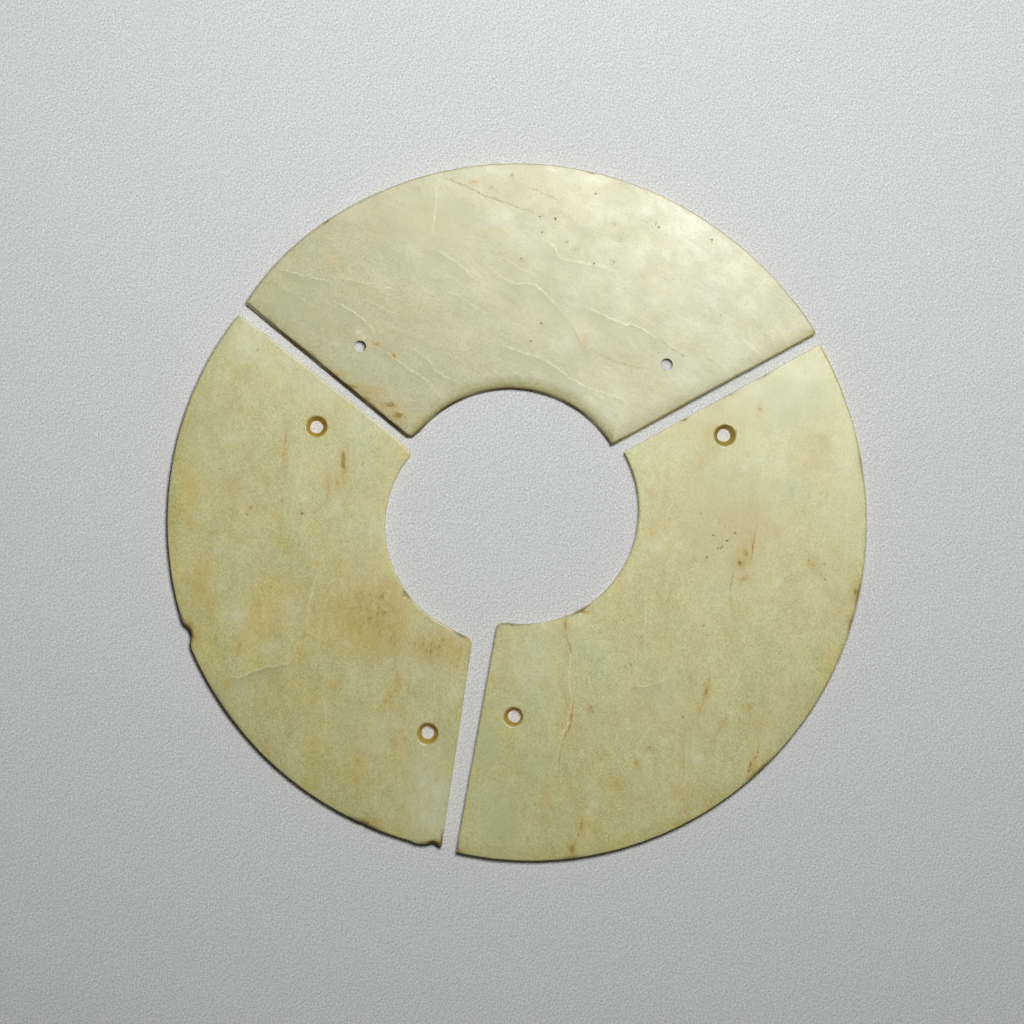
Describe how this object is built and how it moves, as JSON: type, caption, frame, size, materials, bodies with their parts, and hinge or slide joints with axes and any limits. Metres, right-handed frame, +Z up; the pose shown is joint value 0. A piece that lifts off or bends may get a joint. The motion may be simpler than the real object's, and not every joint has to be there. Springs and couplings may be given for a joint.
{
  "type": "jade bi disc",
  "caption": "Flat jade disc with a round centre opening, made of arc-shaped plates laid end to end, each drilled near its ends for lacing.",
  "frame": {"origin": "middle of the disc's outline, on the surface that it lies on", "axes": "+Z up through the thickness of the disc, +Y towards the back segment, +X towards the right segment"},
  "size_m": [0.2098, 0.2093, 0.004],
  "materials": {
    "pale_jade": "polished greyish celadon nephrite with pale diagonal veins",
    "olive_jade": "polished olive green nephrite with fine upright grain and brown stains",
    "mottled_jade": "polished yellowish green nephrite with pale cracks and brown specks"
  },
  "bodies": {
    "root": {"back_segment": "pale_jade", "left_segment": "olive_jade", "right_segment": "mottled_jade"}
  },
  "joints": []
}
